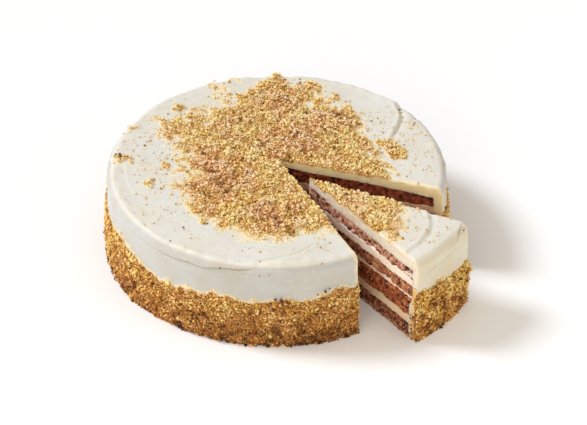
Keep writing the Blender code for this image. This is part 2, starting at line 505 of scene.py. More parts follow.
# Edges of spatula strokes on the top: how high, how far back the height fades, and the way each one
# runs in plan. Its left side is the higher one.
CAKE_STROKES = (
    (1.5 * MM, 0.12, ((0.66, 0.22), (0.70, 0.31), (0.735, 0.41), (0.75, 0.52), (0.7, 0.7), (0.62, 0.8))),
    (1.3 * MM, 0.12, ((0.95, 0.66), (0.92, 0.60), (0.86, 0.50), (0.82, 0.425), (0.75, 0.45))),
    (2.2 * MM, 0.09, ((0.3, -0.74), (0.22, -0.8), (0.16, -0.86), (0.09, -0.905), (0, -0.93), (-0.1, -0.935))),
    (0.3 * MM, 0.12, ((-0.93, 0.16), (-0.90, -0.02), (-0.86, -0.22), (-0.76, -0.42))),
)
SLICE_LEDGE = (
    (0.52, -0.72), (0.555, -0.675), (0.624, -0.596), (0.686, -0.445), (0.675, -0.296), (0.66, -0.24),
)
def smooth_path(path, steps=10):
    """A path through all the points given, as many short straight lines."""
    points = np.array([path[0], *path, path[-1]], float)
    share = np.linspace(0, 1, steps, endpoint=False)[:, None]
    runs = []
    for before, start, end, after in zip(points, points[1:], points[2:], points[3:]):
        bend = 2 * before - 5 * start + 4 * end - after
        twist = 3 * start - before - 3 * end + after
        runs.append(0.5 * (2 * start + (end - before) * share + bend * share**2 + twist * share**3))
    return np.concatenate([*runs, points[-1:]])


def beside_path(x, y, path):
    """How far left of a path a plan place is, and how far along the path, from 0 to 1."""
    corners = smooth_path(path)
    steps = np.diff(corners, axis=0)
    x, y = (np.asarray(v)[:, None] - start for v, start in zip((x, y), corners[:-1].T))
    share = np.clip((x * steps[:, 0] + y * steps[:, 1]) / (steps**2).sum(1), 0, 1)
    x = x - share * steps[:, 0]
    y = y - share * steps[:, 1]
    away = np.hypot(x, y)
    nearest = away.argmin(1)[:, None]
    side = away * np.sign(steps[:, 0] * y - steps[:, 1] * x)
    along = (np.arange(len(steps)) + share) / len(steps)
    return (np.take_along_axis(values, nearest, 1)[:, 0] for values in (side, along))


def stroke_edge(x, y, path, rise, fade=0.25, reach=0.12, width=0.0075):
    """Height of a spatula stroke's edge: a plateau with a bright crest, and a crease at its foot."""
    side, along = beside_path(x, y, path)
    ends = smoothstep(along, 0, fade) * smoothstep(1 - along, 0, fade) if fade else 1.0
    plateau = smoothstep(side, -width, width) * np.exp(-np.maximum(side, 0) / reach)
    crest = 0.35 * np.exp(-(((side - 1.2 * width) / width) ** 2))
    foot = 0.55 * np.exp(-(((side + 1.8 * width) / (1.6 * width)) ** 2))
    return rise * ends * (plateau + crest - foot)


def streaks(run, across, length, width, seed):
    """Fine lines that run one way."""
    return noise(points_at(run / length, across / width), 1.0, seed)


def top_relief(x, y, on_slice):
    """How far the top coat stands above its mean height, at plan places."""
    radius = np.hypot(x, y)
    angle = np.arctan2(y, x)
    place = points_at(x, y) * RIM
    wave = 0.45 * MM * np.sin(2 * angle + 3 * radius) * np.cos(angle - 4 * radius) * radius
    wave = wave + 0.42 * MM * fractal(place, 28 * MM, 2)
    bent = angle + 0.25 * noise(place, 45 * MM, 6)
    lines = streaks(bent * radius * RIM, radius * RIM, 26 * MM, 2.3 * MM, 4)
    lines = 0.12 * MM * lines * smoothstep(radius, 0.4, 0.8)
    fine = 0.12 * MM * fractal(place, 4.5 * MM, 8)
    relief = wave + lines + fine
    if on_slice:
        return relief + stroke_edge(x, y, SLICE_LEDGE, 1.0 * MM, fade=0, width=0.010) - 0.25 * MM
    for rise, reach, path in CAKE_STROKES:
        relief = relief + stroke_edge(x, y, path, rise, reach=reach)
    scallops = np.exp(-(((radius - 0.955) / 0.022) ** 2)) * fractal(place, 8 * MM, 14, octaves=2)
    return relief + 0.60 * MM * scallops


def side_relief(angle, height):
    """How far the side coat stands out from its mean radius."""
    degrees = np.degrees(angle)
    place = on_rim(angle, height)
    below = RIM * round_table(CREASE, degrees) + 0.5 * MM * noise(place, 12 * MM, 40) - height
    sharp = round_table(CREASE, degrees, 2) * (0.75 + 0.35 * noise(place, 7 * MM, 41))
    groove = CREASE_DEPTH * sharp * np.exp(-((below / (0.7 * MM)) ** 2))
    undercut = 1.0 * MM * sharp * smoothstep(below, -0.3 * MM, 0.5 * MM)
    undercut = undercut * np.exp(-np.maximum(below, 0) / (9 * MM))
    broad = 0.60 * MM * fractal(place, 24 * MM, 42)
    lines = 0.20 * MM * streaks(angle * RIM, height, 34 * MM, 2.6 * MM, 43)
    fine = 0.05 * MM * fractal(place, 2.6 * MM, 44)
    return broad + lines + fine - groove - undercut


def coat_radius(angle, height):
    """Mean radius of the side coat: widest at its foot, and wandering a little."""
    wander = 0.36 * MM * np.sin(2 * angle + 0.7) + 0.24 * MM * np.sin(5 * angle + 2.1)
    return RIM + BASE_FLARE * np.maximum(1 - height / HEIGHT, 0) ** 0.8 + wander


def clumps(place):
    """How the crumbs clump: 0 in the hollows between clumps, and 1 and more on top of them."""
    bumps = 0.55 + 0.60 * fractal(place, 4.8 * MM, 50) + 0.25 * noise(place, 1.8 * MM, 51)
    return np.clip(bumps, 0, 1.6)


def crumb_relief(place, cover, height):
    """A rough raised skin under the crumbs, as high as they lie thick."""
    return height * smoothstep(cover, 0.4, 1.0) * clumps(place)


def rounded(away, radius):
    """How far an edge of this radius falls back, at a distance from the edge."""
    return radius * (1 - np.sqrt(1 - np.clip(1 - away / radius, 0, 1) ** 2))


def top_surface(group, x, y):
    """Height of the frosted top at plan places, crumbs' skin included, and the crumb cover there."""
    cover = top_cover(x, y)
    place = points_at(x, y) * RIM
    from_cuts = group.from_cuts(group.axis + place[:, :2], np.full(len(x), HEIGHT))
    height = HEIGHT + top_relief(x, y, group.name == "slice") - rounded(from_cuts, CUT_EDGE)
    return height + crumb_relief(place, cover, TOP_SKIN), cover


def side_surface(angle, height):
    """Radius of the side at angles and heights, crumbs' skin included, and the crumb cover there."""
    cover = side_cover(angle, height)
    radius = coat_radius(angle, height) + side_relief(angle, height)
    return radius + crumb_relief(on_rim(angle, height), cover, SIDE_SKIN), cover


# ---- frosting


def frosting_outside(group, shares, top_rows, top_crowding, shoulder_rows, side_rows):
    """Rows of points over the top, round the shoulder and down the side, and their crumb cover."""
    top_angle = group.angle(HEIGHT, RIM - SHOULDER, shares)
    wander = coat_radius(top_angle, HEIGHT) - RIM
    rim = group.axis + (RIM - SHOULDER + wander)[:, None] * heading(top_angle)
    apex = group.apex(HEIGHT)
    rows = []
    covers = []
    for out in np.linspace(0, 1, top_rows) ** top_crowding:
        level = apex + out * (rim - apex)
        height, cover = top_surface(group, *((level - group.axis) / RIM).T)
        rows.append(lifted(level, height))
        covers.append(cover)
    edge_height = rows[-1][:, 2]
    for turn in np.linspace(0, pi / 2, shoulder_rows + 1)[1:]:
        height = edge_height - SHOULDER * (1 - cos(turn) ** SLOPE_POWER)
        radius = RIM - SHOULDER * (1 - sin(turn) ** SLOPE_POWER) + wander
        angle = group.angle(height, radius, shares)
        relief = side_relief(angle, height) * smoothstep(turn, 0, 0.7)
        rows.append(group.around(angle, radius + relief * sin(turn), height + relief * cos(turn)))
        covers.append(np.zeros_like(height))
    shoulder_foot = rows[-1][:, 2]
    for down in np.linspace(0, 1, side_rows + 1)[1:] ** SIDE_ROW_CROWDING:
        height = shoulder_foot * (1 - down)
        angle = group.angle(height, coat_radius(top_angle, height), shares)
        radius, cover = side_surface(angle, height)
        from_cuts = group.from_cuts(group.around(angle, radius, height)[:, :2], height)
        rows.append(group.around(angle, radius - rounded(from_cuts, CUT_CORNER), height))
        covers.append(cover)
    for side, column in ((0, 0), (1, -1)):
        edge = np.array([row[column] for row in rows])
        uneven = 0.28 * MM * fractal(edge, 5 * MM, 64 + side)
        uneven = uneven * smoothstep(np.linspace(0, len(rows) / 12, len(rows)), 0, 1)
        for row, move in zip(rows, uneven):
            row[column] += move * group.normals[side]
    return np.array(rows), np.array(covers)


def frosting_inside(group, outside, shares):
    """Where the frosting meets the layers, for points of its outside."""
    height = outside[..., 2]
    start = group.apex(height)
    offset = outside[..., :2] - start
    distance = np.linalg.norm(offset, axis=-1)
    along = offset / np.maximum(distance, 1e-9)[..., None]
    edge = group.layer_edge(np.minimum(height, HEIGHT * 0.85), shares) - 0.4 * MM
    limit = group.reach(height, along, edge)
    out = np.minimum(distance / limit, 1)
    out[0] = 0
    height = np.minimum(height, group.level(len(LAYERS), out, shares))
    return lifted(group.apex(height) + (out * limit)[..., None] * along, height)


def cut_frosting(group, side, outside, inside, columns):
    """The frosting's face on a cut, from its outside to the layers, a little uneven."""
    across = np.linspace(0, 1, columns)[None, :, None]
    face = outside[:, None] + across * (inside - outside)[:, None]
    uneven = 0.30 * MM * fractal(face, 4 * MM, 60 + side) + 0.20 * MM * noise(face, 1.6 * MM, 62 + side)
    hold = smoothstep(across[..., 0], 0, 0.25)
    return face + (hold * uneven)[..., None] * group.normals[side]


def frosting(group, columns, inner_columns, cut_columns, **rows):
    patch = Patchwork("cover", "cut", "side")
    shares = np.linspace(0, 1, columns)
    beside_cut = shares[1] * np.array([0.1, 0.25, 0.45, 0.7])
    shares = np.sort(np.concatenate([shares, beside_cut, 1 - beside_cut]))
    outside, cover = frosting_outside(group, shares, **rows)
    # The side mark: 0 on the top, rising to 1 over the shoulder and down the side. It picks the side's
    # whites, which are painted shade and light, and the side's crumb skin.
    inward = RIM - np.linalg.norm(outside[..., :2] - group.axis, axis=-1)
    drop = HEIGHT - outside[..., 2] + 3.5 * MM * smoothstep(4.5 * MM - inward, 0, 4.5 * MM)
    on_side = smoothstep(drop, 0.6 * MM, 6 * MM)
    beside = group.from_cuts(outside[..., :2], outside[..., 2])
    beside = beside + 1.2 * MM * noise(outside, 3 * MM, 66)
    tinted = 0.8 * smoothstep(EDGE_TINT - beside, 0, EDGE_TINT) * smoothstep(0.35 - cover, 0, 0.3)
    outer = patch.grid(outside, cover=cover, side=on_side, cut=tinted)
    coarse = np.linspace(0, 1, inner_columns)
    around, _ = frosting_outside(group, coarse, **rows)
    around[:, 0] = outside[:, 0]
    around[:, -1] = outside[:, -1]
    inside = frosting_inside(group, around, coarse)
    inner = patch.grid(inside)
    dragged = np.linspace(1, 0, cut_columns) ** 1.8
    for side, column in ((0, 0), (1, -1)):
        face = cut_frosting(group, side, outside[:, column], inside[:, column], cut_columns)
        crumbed = dragged * (cover * on_side)[:, column][:, None]
        patch.grid(face, cut=1 - crumbed, cover=crumbed, side=1.0)
    patch.stitch(outer[-1], inner[-1], shares, coarse)
    return patch.build(f"{group.name}_frosting_coat", materials[f"{group.name}_frosting"])


# ---- sponges and fillings


def sponge_face(points, fade, seed):
    """How far a torn, porous sponge face stands out at points, and how deep in a hole they are."""
    bent = [0.8 * MM * noise(points, 2.6 * MM, seed + axis) for axis in (11, 12, 13)]
    points = points + np.stack(bent, -1)
    hollow, owner = cells(points, 3.6 * MM, seed)
    hole = smoothstep(0.56 - hollow, 0, 0.34) * (owner > 0.62)
    pinhole, pin_owner = cells(points, 1.6 * MM, seed + 20)
    pinhole = smoothstep(0.42 - pinhole, 0, 0.24) * (pin_owner > 0.82)
    rough = 0.50 * MM * fractal(points, 2.8 * MM, seed + 1)
    rough = rough + 0.40 * MM * noise(points, 9 * MM, seed + 2)
    depth = 1.15 * MM * hole + 0.5 * MM * pinhole
    return (rough - depth - 0.15 * MM) * fade, np.clip(hole + 0.6 * pinhole, 0, 1)


# Torn places on the slice's front cut: share of the way out, height, radius and depth
TEARS = (
    (0.950, 51.5 * MM, 4.6 * MM, 4.0 * MM), (0.985, 27.5 * MM, 2.4 * MM, 1.8 * MM),
    (0.965, 8.0 * MM, 2.8 * MM, 1.6 * MM), (0.620, 50.0 * MM, 2.2 * MM, 1.2 * MM),
    (0.780, 34.0 * MM, 2.0 * MM, 1.0 * MM),
)


def torn(out, height, length):
    """How deep the tears are at places on the slice's front cut."""
    depth = np.zeros(np.shape(out))
    for tear_out, tear_height, radius, deepest in TEARS:
        away = np.hypot((out - tear_out) * length, height - tear_height) / radius
        depth = np.maximum(depth, deepest * smoothstep(1.15 - away, 0, 0.7))
    return depth


def cream_face(points, fade, seed):
    """How far a sliced cream face stands out: smooth, with a little unevenness, and no holes."""
    rough = 0.26 * MM * fractal(points, 4 * MM, seed) + 0.18 * MM * noise(points, 1.5 * MM, seed + 1)
    return (rough + 0.12 * MM) * fade, np.zeros(points.shape[:-1])


def ragged_level(group, count, out, share):
    """A layer's top with its small unevenness, which its neighbours share."""
    level = group.level(count, out, share)
    if count == 0:
        return level
    place = group.inside_place(out, share, level)
    rough = 1.8 if count == len(LAYERS) else 1.2
    uneven = 0.55 * MM * fractal(place, 6 * MM, 70 + count)
    uneven = uneven + 0.42 * MM * noise(place, 1.5 * MM, 80 + count)
    return level + rough * uneven * smoothstep(out, 0, 0.03)


def layer(group, number, step, columns):
    """One sponge or filling of the group, as a closed piece."""
    name = LAYERS[number]
    is_sponge = name.startswith("sponge")
    cut_face = sponge_face if is_sponge else cream_face
    length = float(group.reach(0.0, group.along[0], LAYER_RADIUS))
    thickness = np.ptp([group.level(number + k, 0.5, 0.5) for k in (0, 1)])
    patch = Patchwork("pit")

    def surface(out, share, rise):
        low = ragged_level(group, number, out, share)
        high = ragged_level(group, number + 1, out, share)
        height = low + rise * (high - low)
        points = group.inside_place(out, share, height)
        pit = np.zeros(height.shape)
        for side in (0, 1):
            on_cut = share == side
            fade = smoothstep(out * length, 0, KNIFE_PRESS) * on_cut
            move, hole = cut_face(points, fade, 100 + 10 * number + side)
            if is_sponge and group.name == "slice" and side == 0:
                deep = torn(out, height, length) * on_cut
                move = move - deep
                hole = np.maximum(hole, smoothstep(deep, 0.3 * MM, 1.6 * MM))
            points = points + move[..., None] * group.normals[side]
            # The holes and tears are marked so that the sponge is painted darker in them, as painted shade.
            pit = pit + hole * fade
        points[..., 2] = np.maximum(points[..., 2], 0)
        return points, pit

    out = np.linspace(0, 1, ceil(length / step))[:, None]
    shares = np.linspace(0, 1, columns)
    up = np.linspace(0, 1, max(4, ceil(thickness / step)))
    cuts = [(out, share, up) for share in (0.0, 1.0)]
    flats = [(out, shares, rise) for rise in (0.0, 1.0)]
    for places in (*cuts, *flats, (1.0, shares[:, None], up)):
        points, pit = surface(*np.broadcast_arrays(*places))
        patch.grid(points, pit=pit)
    return patch.build(f"{group.name}_{name}_cut", materials[f"{group.name}_{name}"])


# ---- crumbs


LUMPS_OF_EACH_KIND = 24


def chunk_shapes(rng):
    """Uneven eight-cornered lumps, and the triangles that all of them share."""
    corners = np.array(list(np.ndindex(2, 2, 2)), float) * 2 - 1
    lumps = corners / np.sqrt(3) + rng.uniform(-0.27, 0.27, (LUMPS_OF_EACH_KIND, 8, 3))
    sides = ((0, 1, 3, 2), (4, 6, 7, 5), (0, 4, 5, 1), (2, 3, 7, 6), (0, 2, 6, 4), (1, 5, 7, 3))
    triangles = [(a, b, c) for a, b, c, _ in sides] + [(a, c, d) for a, _, c, d in sides]
    return lumps, np.array(triangles)


def grain_shapes(rng):
    """Uneven six-cornered grains, and the triangles that all of them share."""
    corners = np.concatenate([np.eye(3), -np.eye(3)])
    grains = corners * rng.uniform(0.7, 1.2, (LUMPS_OF_EACH_KIND, 6, 1))
    grains = grains + rng.uniform(-0.2, 0.2, grains.shape)
    triangles = [(0, 1, 2), (1, 3, 2), (3, 4, 2), (4, 0, 2), (1, 0, 5), (3, 1, 5), (4, 3, 5), (0, 4, 5)]
    return grains, np.array(triangles)


def random_turns(rng, count):
    """Random rotation matrices."""
    turns = rng.normal(size=(4, count))
    w, x, y, z = turns / np.linalg.norm(turns, axis=0)
    rows = (
        (1 - 2 * (y * y + z * z), 2 * (x * y - w * z), 2 * (x * z + w * y)),
        (2 * (x * y + w * z), 1 - 2 * (x * x + z * z), 2 * (y * z - w * x)),
        (2 * (x * z - w * y), 2 * (y * z + w * x), 1 - 2 * (x * x + y * y)),
    )
    return np.stack([np.stack(row, -1) for row in rows], -2)


def crumbs(name, centres, sizes, tones, hues, rng, material, shapes=chunk_shapes):
    """One piece of many loose crumbs, each of its own size, turn, tone and hue."""
    lumps, triangles = shapes(rng)
    corners = lumps.shape[1]
    count = len(centres)
    stretch = np.stack([np.ones(count), rng.uniform(0.65, 1, count), rng.uniform(0.5, 0.9, count)], -1)
    lump = lumps[rng.integers(len(lumps), size=count)] * (stretch * sizes[:, None] / 2)[:, None]
    points = np.einsum("nij,nkj->nki", random_turns(rng, count), lump) + centres[:, None]
    points[..., 2] = np.maximum(points[..., 2], 0.02 * MM)
    faces = (triangles[None] + corners * np.arange(count)[:, None, None]).reshape(-1, 3)
    looks = {"tone": tones, "hue": hues}
    marks = {mark: np.repeat(np.clip(values, 0, 1), corners) for mark, values in looks.items()}
    return mesh_object(name, points.reshape(-1, 3), (faces,), marks, material)


# How coarse crumbs and fine grains differ. With a low `gathering` they reach past the thick heaps.
CRUMBS = SimpleNamespace(name="crumbs", shapes=chunk_shapes, gathering=1.5, strays=0.02)
CRUMBS.top = SimpleNamespace(size=1.70 * MM, pile=0.4 * MM, tone=0.82)
CRUMBS.side = SimpleNamespace(size=1.60 * MM, pile=0.5 * MM, tone=0.70)
CRUMBS.dragged = SimpleNamespace(size=1.3 * MM, count=200)
GRAINS = SimpleNamespace(name="grains", shapes=grain_shapes, gathering=0.8, strays=0.08)
GRAINS.top = SimpleNamespace(size=0.85 * MM, pile=0.7 * MM, tone=0.76)
GRAINS.side = SimpleNamespace(size=0.82 * MM, pile=0.7 * MM, tone=0.66)
GRAINS.dragged = SimpleNamespace(size=0.8 * MM, count=420)


def crumb_sizes(rng, count, middle, largest=LARGEST_CRUMB):
    return np.minimum(middle * np.exp(rng.normal(0, 0.34, count)), largest)


def chosen(rng, kind, cover, stray, most):
    """Numbers of the places that keep a crumb: more of them where the cover is thick."""
    kept = rng.random(len(cover)) < np.maximum(cover**kind.gathering, stray)
    return np.flatnonzero(kept)[:most]


def piled(rng, cover, heap, single, sunk):
    """Sizes of crumbs, smaller where they lie singly, and how far each one's middle stands out."""
    count = len(cover)
    sizes = crumb_sizes(rng, count, heap.size)
    sizes = np.where(cover < 0.2, sizes * single, sizes)
    lift = rng.uniform(sunk, sunk + 0.3, count) * sizes
    return sizes, lift + rng.random(count) * heap.pile * cover


def on_top(group, rng, tries):
    """Random places on the group's top, even by area: plan x and y."""
    share = rng.random(tries)
    out = np.sqrt(rng.random(tries))
    edge = RIM - SHOULDER * 0.6
    rim = group.axis + edge * heading(group.angle(np.full(tries, HEIGHT), edge, share))
    apex = group.apex(HEIGHT)
    plan = (apex + out[:, None] * (rim - apex) - group.axis) / RIM
    stretch = ((rim - apex) ** 2).sum(-1)
    return plan[rng.random(tries) < stretch / stretch.max()].T


def crumb_tones_with_clump_shade(place, rng, middle):
    """Tones that drift from heap to heap, with a few much darker crumbs. Crumbs on top of clumps are painted
    lighter and those in the hollows darker, as painted light and shade.
    """
    count = len(place)
    tones = middle + 0.12 * fractal(place, 8 * MM, 90) + 0.08 * noise(place, 2.6 * MM, 91)
    # Painted light and shade: lighter on top of the clumps, darker in the hollows between them.
    tones = tones + 0.72 * (clumps(place) - 0.55) + rng.normal(0, 0.15, count)
    return np.where(rng.random(count) < 0.06, rng.uniform(0, 0.2, count), tones)


def crumb_hues(place, rng):
    """0 for golden crumbs and 1 for brown ones, in drifts."""
    return 0.28 + 0.6 * fractal(place, 9 * MM, 95) + rng.normal(0, 0.12, len(place))


def top_crumbs(group, kind, tries, most, rng):
    x, y = on_top(group, rng, tries)
    cover = top_cover(x, y)
    away = np.hypot(x - PATCH_MIDDLE[0], y - PATCH_MIDDLE[1])
    stray = kind.strays * np.exp(-np.maximum(away - 0.6, 0) / 0.16) + 0.005
    for speckled_x, speckled_y, radius, density in SPECKLED:
        stray = stray + density * spot(x, y, speckled_x, speckled_y, 1.6 * radius)
    kept = chosen(rng, kind, cover, stray, most)
    x, y, cover = x[kept], y[kept], cover[kept]
    height, _ = top_surface(group, x, y)
    sizes, lift = piled(rng, cover, kind.top, single=0.8, sunk=0.05)
    place = points_at(x, y) * RIM
    centres = lifted(group.axis + place[:, :2], height + lift)
    brown = top_brownness(x, y)
    tones = crumb_tones_with_clump_shade(place, rng, kind.top.tone) - 0.48 * brown
    alone = (cover < 0.12) & (rng.random(len(x)) < 0.6)
    tones = np.where(alone, rng.uniform(0.05, 0.8, len(x)), tones)
    hues = np.where(alone, 0.5, crumb_hues(place, rng) + 1.5 * brown)
    name = f"{group.name}_top_{kind.name}"
    return crumbs(name, centres, sizes, tones, hues, rng, materials["top_crumbs"], kind.shapes)


def edge_crumbs(group, side, count, rng):
    """Crumbs that the knife dragged over the end of a cut."""
    height = rng.random(count) ** 1.2 * DRAGGED_TO
    radius = RIM - BLADE_DRAG * rng.uniform(-0.4, 1, count) ** 2 * rng.choice([1, 0.4], count)
    angle = group.angle(height, radius, np.full(count, float(side)))
    off_cut = rng.uniform(0, 0.5, count) * MM
    return group.around(angle, radius, height) + off_cut[:, None] * group.normals[side]


def fallen_crumbs(group, count, rng):
    """Crumbs that lie at the foot of the side."""
    angle = group.angle(np.zeros(count), RIM, rng.random(count))
    radius = coat_radius(angle, np.zeros(count)) + rng.exponential(1.0 * MM, count)
    return group.around(angle, radius, np.full(count, FALLEN_HEIGHT))


# Single dark crumbs on the side: degrees, rim radii above the base, and size
DARK_CRUMBS = (
    (272.0, 0.330, 4.8 * MM), (270.0, 0.336, 2.6 * MM), (273.8, 0.316, 3.0 * MM),
    (286.0, 0.364, 3.0 * MM), (287.4, 0.374, 1.8 * MM), (283.6, 0.348, 1.4 * MM),
    (265.0, 0.490, 1.1 * MM), (268.0, 0.500, 1.3 * MM), (252.0, 0.505, 1.3 * MM),
    (285.0, 0.550, 1.5 * MM), (313.6, 0.205, 5.0 * MM), (331.0, 0.535, 1.8 * MM),
)


def dark_crumbs(group):
    """Places and sizes of the single dark crumbs that lie on the group's part of the side."""
    degrees, share_up, sizes = np.array(DARK_CRUMBS).T
    angle = np.radians(degrees)
    height = share_up * RIM
    first, last = (group.angle(height, RIM, side) for side in (0.0, 1.0))
    here = (angle - first) % (2 * pi) <= last - first
    radius, _ = side_surface(angle, height)
    return group.around(angle, radius + 0.5 * sizes, height)[here], sizes[here]


def side_crumbs(group, kind, tries, most, rng):
    share = rng.random(tries)
    height = rng.uniform(0, CRUMBED_TO, tries)
    angle = group.angle(height, RIM, share)
    cover = side_cover(angle, height)
    stray = 0.006 * np.exp(-np.maximum(height - 0.3 * RIM, 0) / (9 * MM))
    kept = chosen(rng, kind, cover, stray, most)
    angle, height, cover = angle[kept], height[kept], cover[kept]
    radius, _ = side_surface(angle, height)
    sizes, lift = piled(rng, cover, kind.side, single=0.75, sunk=0.0)
    strays = [edge_crumbs(group, side, kind.dragged.count, rng) for side in (0, 1)]
    strays.append(fallen_crumbs(group, most // 160, rng))
    centres = np.concatenate([group.around(angle, radius + lift, height), *strays])
    sizes = np.append(sizes, crumb_sizes(rng, len(centres) - len(sizes), kind.dragged.size))
    low = smoothstep(1 - centres[:, 2] / (0.27 * RIM))
    facing = centres[:, :2] - group.axis
    degrees = np.degrees(np.arctan2(facing[:, 1], facing[:, 0]))
    # Painted shade: the crumbs are darker towards the foot, where the floor shades them. They are also
    # browner there.
    tones = crumb_tones_with_clump_shade(centres, rng, kind.side.tone) - round_table(BAND_FOOT_SHADE_AND_HUE, degrees) * low
    hues = crumb_hues(centres, rng) + round_table(BAND_FOOT_SHADE_AND_HUE, degrees, 2) + 0.45 * low
    if kind is CRUMBS:
        dark_places, dark_sizes = dark_crumbs(group)
        centres = np.concatenate([centres, dark_places])
        sizes = np.append(sizes, dark_sizes)
        tones = np.append(tones, np.full(len(dark_sizes), 0.10))
        hues = np.append(hues, np.ones(len(dark_sizes)))
    name = f"{group.name}_side_{kind.name}"
    return crumbs(name, centres, sizes, tones, hues, rng, materials["side_crumbs"], kind.shapes)


def face_crumbs(group, side, count, rng):
    """Bits of sponge that the knife left on a cut, few of them on the creams."""
    out = np.sqrt(rng.uniform(0.002, 1, count))
    at_foot = rng.random(count) < 0.3
    height = np.where(at_foot, rng.uniform(0, 3 * MM, count), rng.uniform(0, 0.86 * HEIGHT, count))
    below = sum((height > group.level(number, out, side)).astype(int) for number in range(1, 8))
    in_sponge = below % 2 == 0
    kept = in_sponge | (rng.random(count) < 0.12)
    out, height = out[kept], height[kept]
    count = len(out)
    centres = group.inside_place(out, np.full(count, float(side)), height)
    sizes = crumb_sizes(rng, count, 0.95 * MM, largest=2.2 * MM) * smoothstep(out, 0, 0.12)
    centres = centres + (rng.uniform(-0.1, 0.35, count) * sizes)[:, None] * group.normals[side]
    return centres, sizes, rng.normal(0.5, 0.2, count)


def sponge_crumbs(group, counts, rng):
    found = [face_crumbs(group, side, counts[side], rng) for side in (0, 1)]
    centres, sizes, tones = (np.concatenate(parts) for parts in zip(*found))
    name = f"{group.name}_sponge_crumbs"
    return crumbs(name, centres, sizes, tones, 0 * tones, rng, materials[name])


# ---- materials


def linear(colours):
    """Shader colours from the 0 to 255 values of screen colours, in an array of any shape."""
    values = np.array(colours) / 255
    values = np.where(values <= 0.04045, values / 12.92, ((values + 0.055) / 1.055) ** 2.4)
    return np.insert(values, 3, 1.0, axis=-1)


class Finish:
    """A node material around one Principled shader."""

    def __init__(self, name, roughness, **settings):
        self.material = bpy.data.materials.new(name)
        self.material.use_nodes = True
        self.tree = self.material.node_tree
        self.shader = self.tree.nodes["Principled BSDF"]
        self.set(self.shader, Roughness=roughness, **settings)
        self.place = self.node("ShaderNodeTexCoord").outputs["Object"]

    def feed(self, socket, value):
        """Links a socket to another, or gives it a constant."""
        if isinstance(value, bpy.types.NodeSocket):
            self.tree.links.new(value, socket)
        else:
            socket.default_value = value

    def set(self, node, **values):
        for key, value in values.items():
            self.feed(node.inputs[key.replace("_", " ")], value)

    def node(self, kind, settings=(), **values):
        node = self.tree.nodes.new(kind)
        for key, value in dict(settings).items():
            setattr(node, key, value)
        self.set(node, **values)
        return node

    def noise(self, size, detail=3.0, stretch=None):
        place = self.place
        if stretch:
            place = self.node("ShaderNodeMapping", Vector=place, Scale=stretch).outputs["Vector"]
        clouds = self.node("ShaderNodeTexNoise", Vector=place, Scale=1 / size, Detail=detail)
        return clouds.outputs["Fac"]

    def lumps(self, size):
        """A random grey for each cell about `size` across."""
        cell = self.node("ShaderNodeTexVoronoi", Vector=self.place, Scale=1 / size).outputs["Color"]
        return self.node("ShaderNodeSeparateColor", Color=cell).outputs["Red"]

    def mark(self, name):
        return self.node("ShaderNodeAttribute", {"attribute_name": name}).outputs["Fac"]

    def ramp(self, factor, *stops):
        node = self.node("ShaderNodeValToRGB", Fac=factor)
        elements = node.color_ramp.elements
        while len(elements) < len(stops):
            elements.new(1.0)
        for element, (position, colour) in zip(elements, stops):
            element.position = position
            element.color = colour if len(np.shape(colour)) else (colour, colour, colour, 1.0)
        return node.outputs["Color"]

    def mix(self, factor, one, other):
        node = self.node("ShaderNodeMix", {"data_type": "RGBA"})
        for number, value in ((0, factor), (6, one), (7, other)):
            self.feed(node.inputs[number], value)
        return node.outputs[2]

    def scaled(self, value, factor, add):
        node = self.node("ShaderNodeMath", {"operation": "MULTIPLY_ADD"})
        for socket, number in zip(node.inputs, (value, factor, add)):
            self.feed(socket, number)
        return node.outputs[0]

    def finish(self, colour, bump, depth, roughness=None):
        relief = self.node("ShaderNodeBump", Height=bump, Distance=depth, Strength=1.0)
        self.set(self.shader, Base_Color=colour, Normal=relief.outputs["Normal"])
        if roughness:
            self.set(self.shader, Roughness=roughness)
        return self.material


# Frosting on the top, and the dark, middle and light crumbs pressed into the top and into the side. The
# pressed crumbs are crumb colour, darkened as painted shade in the gaps between the loose crumbs
TOP_WHITES = linear(((227, 225, 218), (225, 221, 209)))
SKIN_TONES_WITH_GAP_SHADE = linear(
    (
        ((140, 88, 32), (206, 152, 76), (246, 204, 130)),
        ((100, 54, 16), (164, 106, 44), (216, 162, 84)),
    )
)
DUSTED = linear((252, 236, 194))


